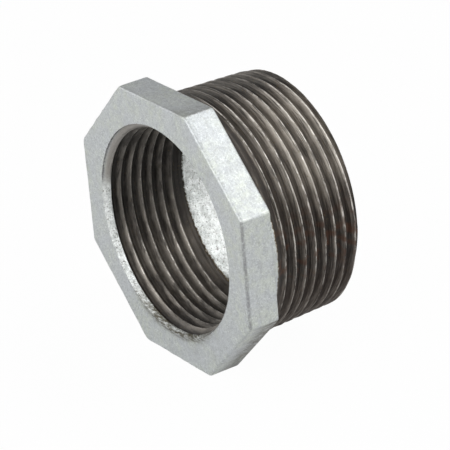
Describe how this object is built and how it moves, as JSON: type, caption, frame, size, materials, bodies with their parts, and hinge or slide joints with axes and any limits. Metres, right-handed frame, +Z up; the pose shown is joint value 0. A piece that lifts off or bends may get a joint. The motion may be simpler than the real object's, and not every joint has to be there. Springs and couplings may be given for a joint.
{
  "type": "octagonal head reducing bushing",
  "caption": "Short reducing bushing with a flat octagonal head, a tapered outside pipe thread and a threaded through bore.",
  "frame": {"origin": "centre of the head's front face, on the thread axis", "axes": "+Y along the thread axis from the head's front face to the small end; +Z up, square to the head's top and bottom flats; it lies on the bottom flat"},
  "size_m": [0.052, 0.0279, 0.052],
  "materials": {
    "galvanised_iron": "hot-dip galvanised malleable iron, with bare dark cut threads"
  },
  "bodies": {
    "root": {"bushing": "galvanised_iron"}
  },
  "joints": []
}
